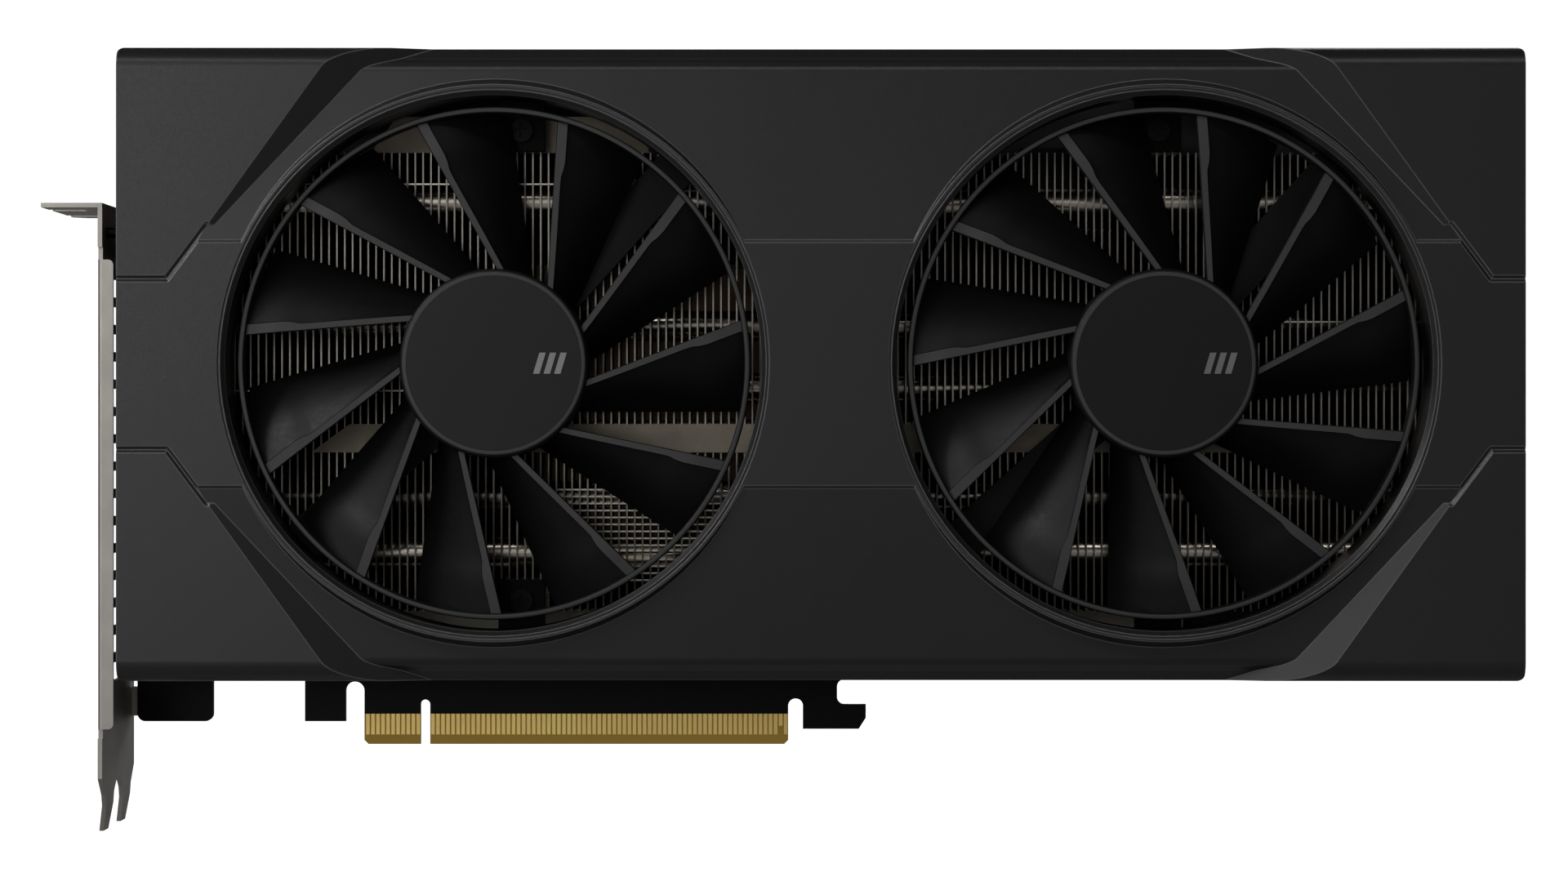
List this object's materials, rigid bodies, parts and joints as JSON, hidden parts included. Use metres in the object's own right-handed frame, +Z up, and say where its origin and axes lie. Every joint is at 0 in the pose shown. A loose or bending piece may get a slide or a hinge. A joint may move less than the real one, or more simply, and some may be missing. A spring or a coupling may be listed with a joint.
{
  "type": "graphics card",
  "caption": "Dual-slot graphics card with a faceted dark shroud, two ringed axial fans, a finned heatsink, a slot bracket, a backplate and a x16 edge tongue.",
  "frame": {"origin": "middle of the key notch of the edge tongue, on the tongue's bottom edge and on the board's component face", "axes": "+X along the card away from the slot bracket, +Y from the fans towards the backplate, +Z up, away from the edge tongue"},
  "size_m": [0.2819, 0.042, 0.1496],
  "materials": {
    "shroud_plastic": "fine moulded texture",
    "fan_plastic": "fine moulded texture",
    "frame_plastic": "matte",
    "cap_film": "satin",
    "mark_grey": "satin print",
    "screw_steel": "black oxide",
    "board_mask": "black solder mask",
    "contact_gold": "hard gold plating",
    "package_laminate": "laminate",
    "silicon": "polished",
    "chip_epoxy": "moulded epoxy",
    "thermal_pad": "soft",
    "ferrite": "pressed powder",
    "can_aluminium": "bare can",
    "black_nylon": "moulded",
    "pin_brass": "tinned",
    "socket_steel": "nickel plated",
    "bracket_nickel": "dull nickel plating",
    "plate_copper": "machined copper",
    "cast_aluminium": "bead blasted",
    "pipe_nickel": "nickel plated copper",
    "fin_aluminium": "bare sheet",
    "cover_aluminium": "matt sheet",
    "spring_steel": "bright",
    "backplate_black": "black anodised",
    "yoke_steel": "bare",
    "magnet_ferrite": "bonded ferrite",
    "shaft_steel": "ground",
    "bearing_brass": "sintered",
    "winding_copper": "enamelled wire",
    "motor_laminate": "laminate",
    "lead_jacket": "sleeved"
  },
  "bodies": {
    "card": {"backplate": "backplate_black", "backplate_screws": "screw_steel", "base_plate": "cast_aluminium", "bracket_screws": "screw_steel", "bracket_side_screw": "screw_steel", "capacitors": "can_aluminium", "circuit_board": "board_mask", "cold_plate": "plate_copper", "edge_contacts": "contact_gold", "fan_frame_screws": "screw_steel", "fin_brace": "cover_aluminium", "fin_cover": "cover_aluminium", "heat_pipes": "pipe_nickel", "left_bearing": "bearing_brass", "left_fan_frame": "frame_plastic", "left_fan_header": "black_nylon", "left_fan_lead": "lead_jacket", "left_fin_stack": "fin_aluminium", "left_motor_board": "motor_laminate", "left_stator": "yoke_steel", "left_windings": "winding_copper", "memory_chips": "chip_epoxy", "power_chokes": "ferrite", "power_pins": "pin_brass", "power_socket": "black_nylon", "power_stages": "chip_epoxy", "processor_die": "silicon", "processor_package": "package_laminate", "retention_frame": "spring_steel", "retention_screws": "screw_steel", "right_bearing": "bearing_brass", "right_fan_frame": "frame_plastic", "right_fan_header": "black_nylon", "right_fan_lead": "lead_jacket", "right_fin_stack": "fin_aluminium", "right_motor_board": "motor_laminate", "right_stator": "yoke_steel", "right_windings": "winding_copper", "shroud": "shroud_plastic", "shroud_screws": "screw_steel", "slot_bracket": "bracket_nickel", "socket_tongues": "black_nylon", "thermal_pads": "thermal_pad", "video_socket_high": "socket_steel", "video_socket_low": "socket_steel", "video_socket_middle": "socket_steel", "video_socket_small": "socket_steel"},
    "left_fan": {"left_impeller": "fan_plastic", "left_hub_cap": "cap_film", "left_hub_mark": "mark_grey", "left_rotor_yoke": "yoke_steel", "left_rotor_magnet": "magnet_ferrite", "left_shaft": "shaft_steel"},
    "right_fan": {"right_impeller": "fan_plastic", "right_hub_cap": "cap_film", "right_hub_mark": "mark_grey", "right_rotor_yoke": "yoke_steel", "right_rotor_magnet": "magnet_ferrite", "right_shaft": "shaft_steel"}
  },
  "joints": [
    {"name": "left_fan_spin", "type": "hinge", "parent": "card", "child": "left_fan", "pos_m": [0.016, -0.0352, 0.0749], "axis": [0, -1, 0], "continuous": true},
    {"name": "right_fan_spin", "type": "hinge", "parent": "card", "child": "right_fan", "pos_m": [0.1434, -0.0352, 0.0749], "axis": [0, -1, 0], "continuous": true}
  ]
}
